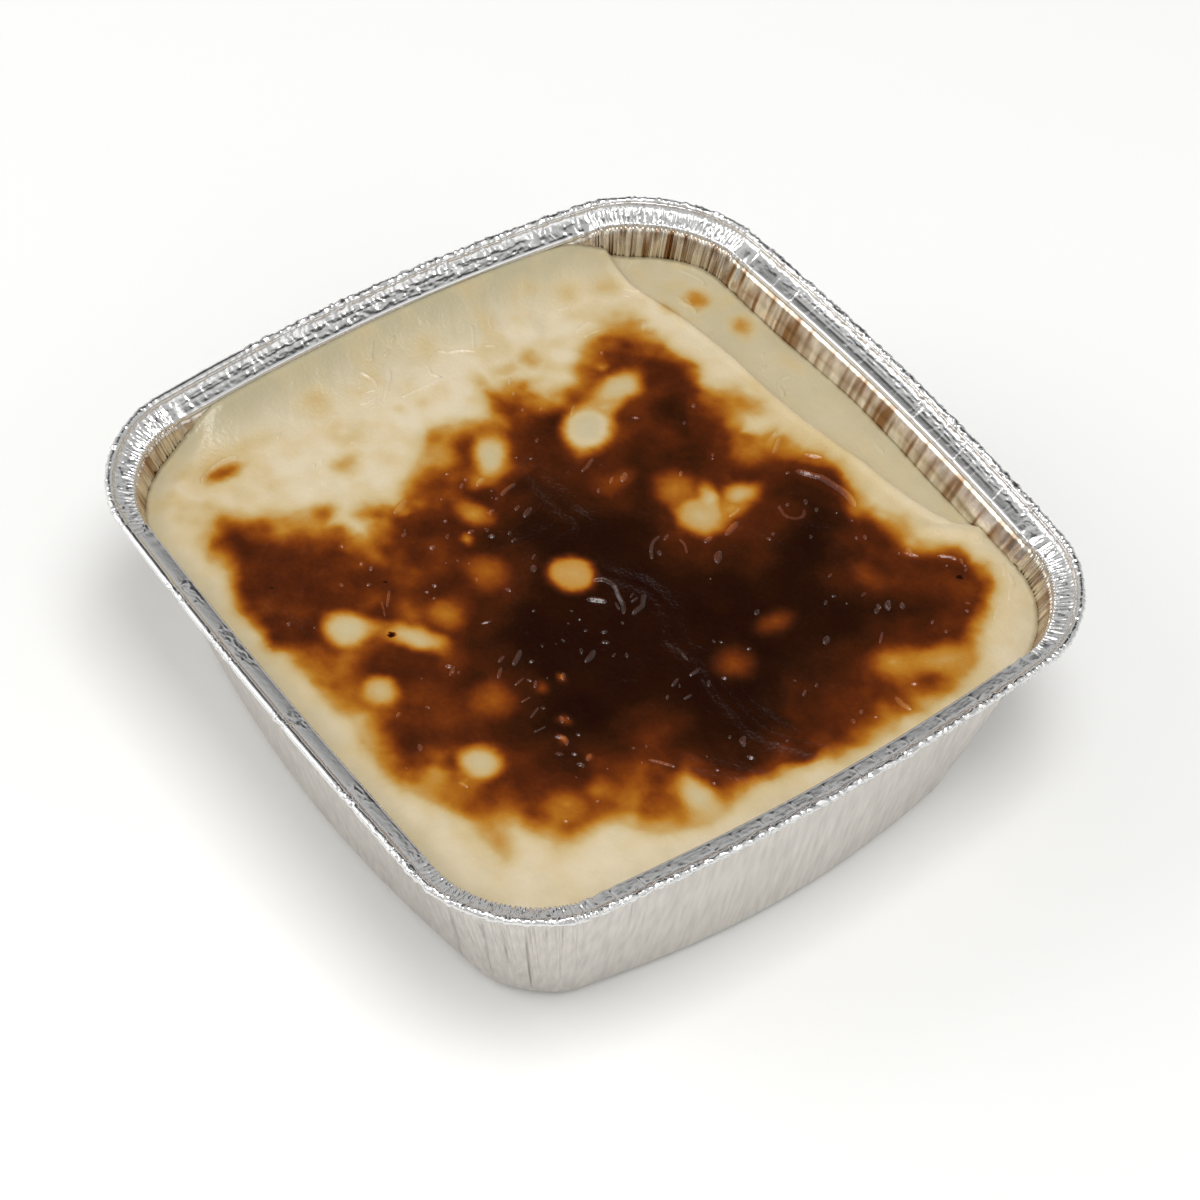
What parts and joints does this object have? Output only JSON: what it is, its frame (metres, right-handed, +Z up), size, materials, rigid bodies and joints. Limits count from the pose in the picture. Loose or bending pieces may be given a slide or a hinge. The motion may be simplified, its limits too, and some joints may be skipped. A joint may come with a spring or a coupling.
{
  "type": "foil tray meal",
  "caption": "Baked milk pudding with a browned, folded milk skin, filling a square aluminium foil tray with rounded corners and a rolled rim.",
  "frame": {"origin": "middle of the rim's bounding box, on the surface that the tray stands on", "axes": "+Z up; +X and +Y square to two sides of the tray, with the climbing milk skin on the -X wall"},
  "size_m": [0.14, 0.1416, 0.0438],
  "materials": {
    "foil": "bright pressed foil, crinkled at the rim and corners",
    "pudding": "semi-gloss baked milk skin, cream with dark brown browning"
  },
  "bodies": {
    "root": {"foil_tray": "foil", "pudding": "pudding"}
  },
  "joints": []
}
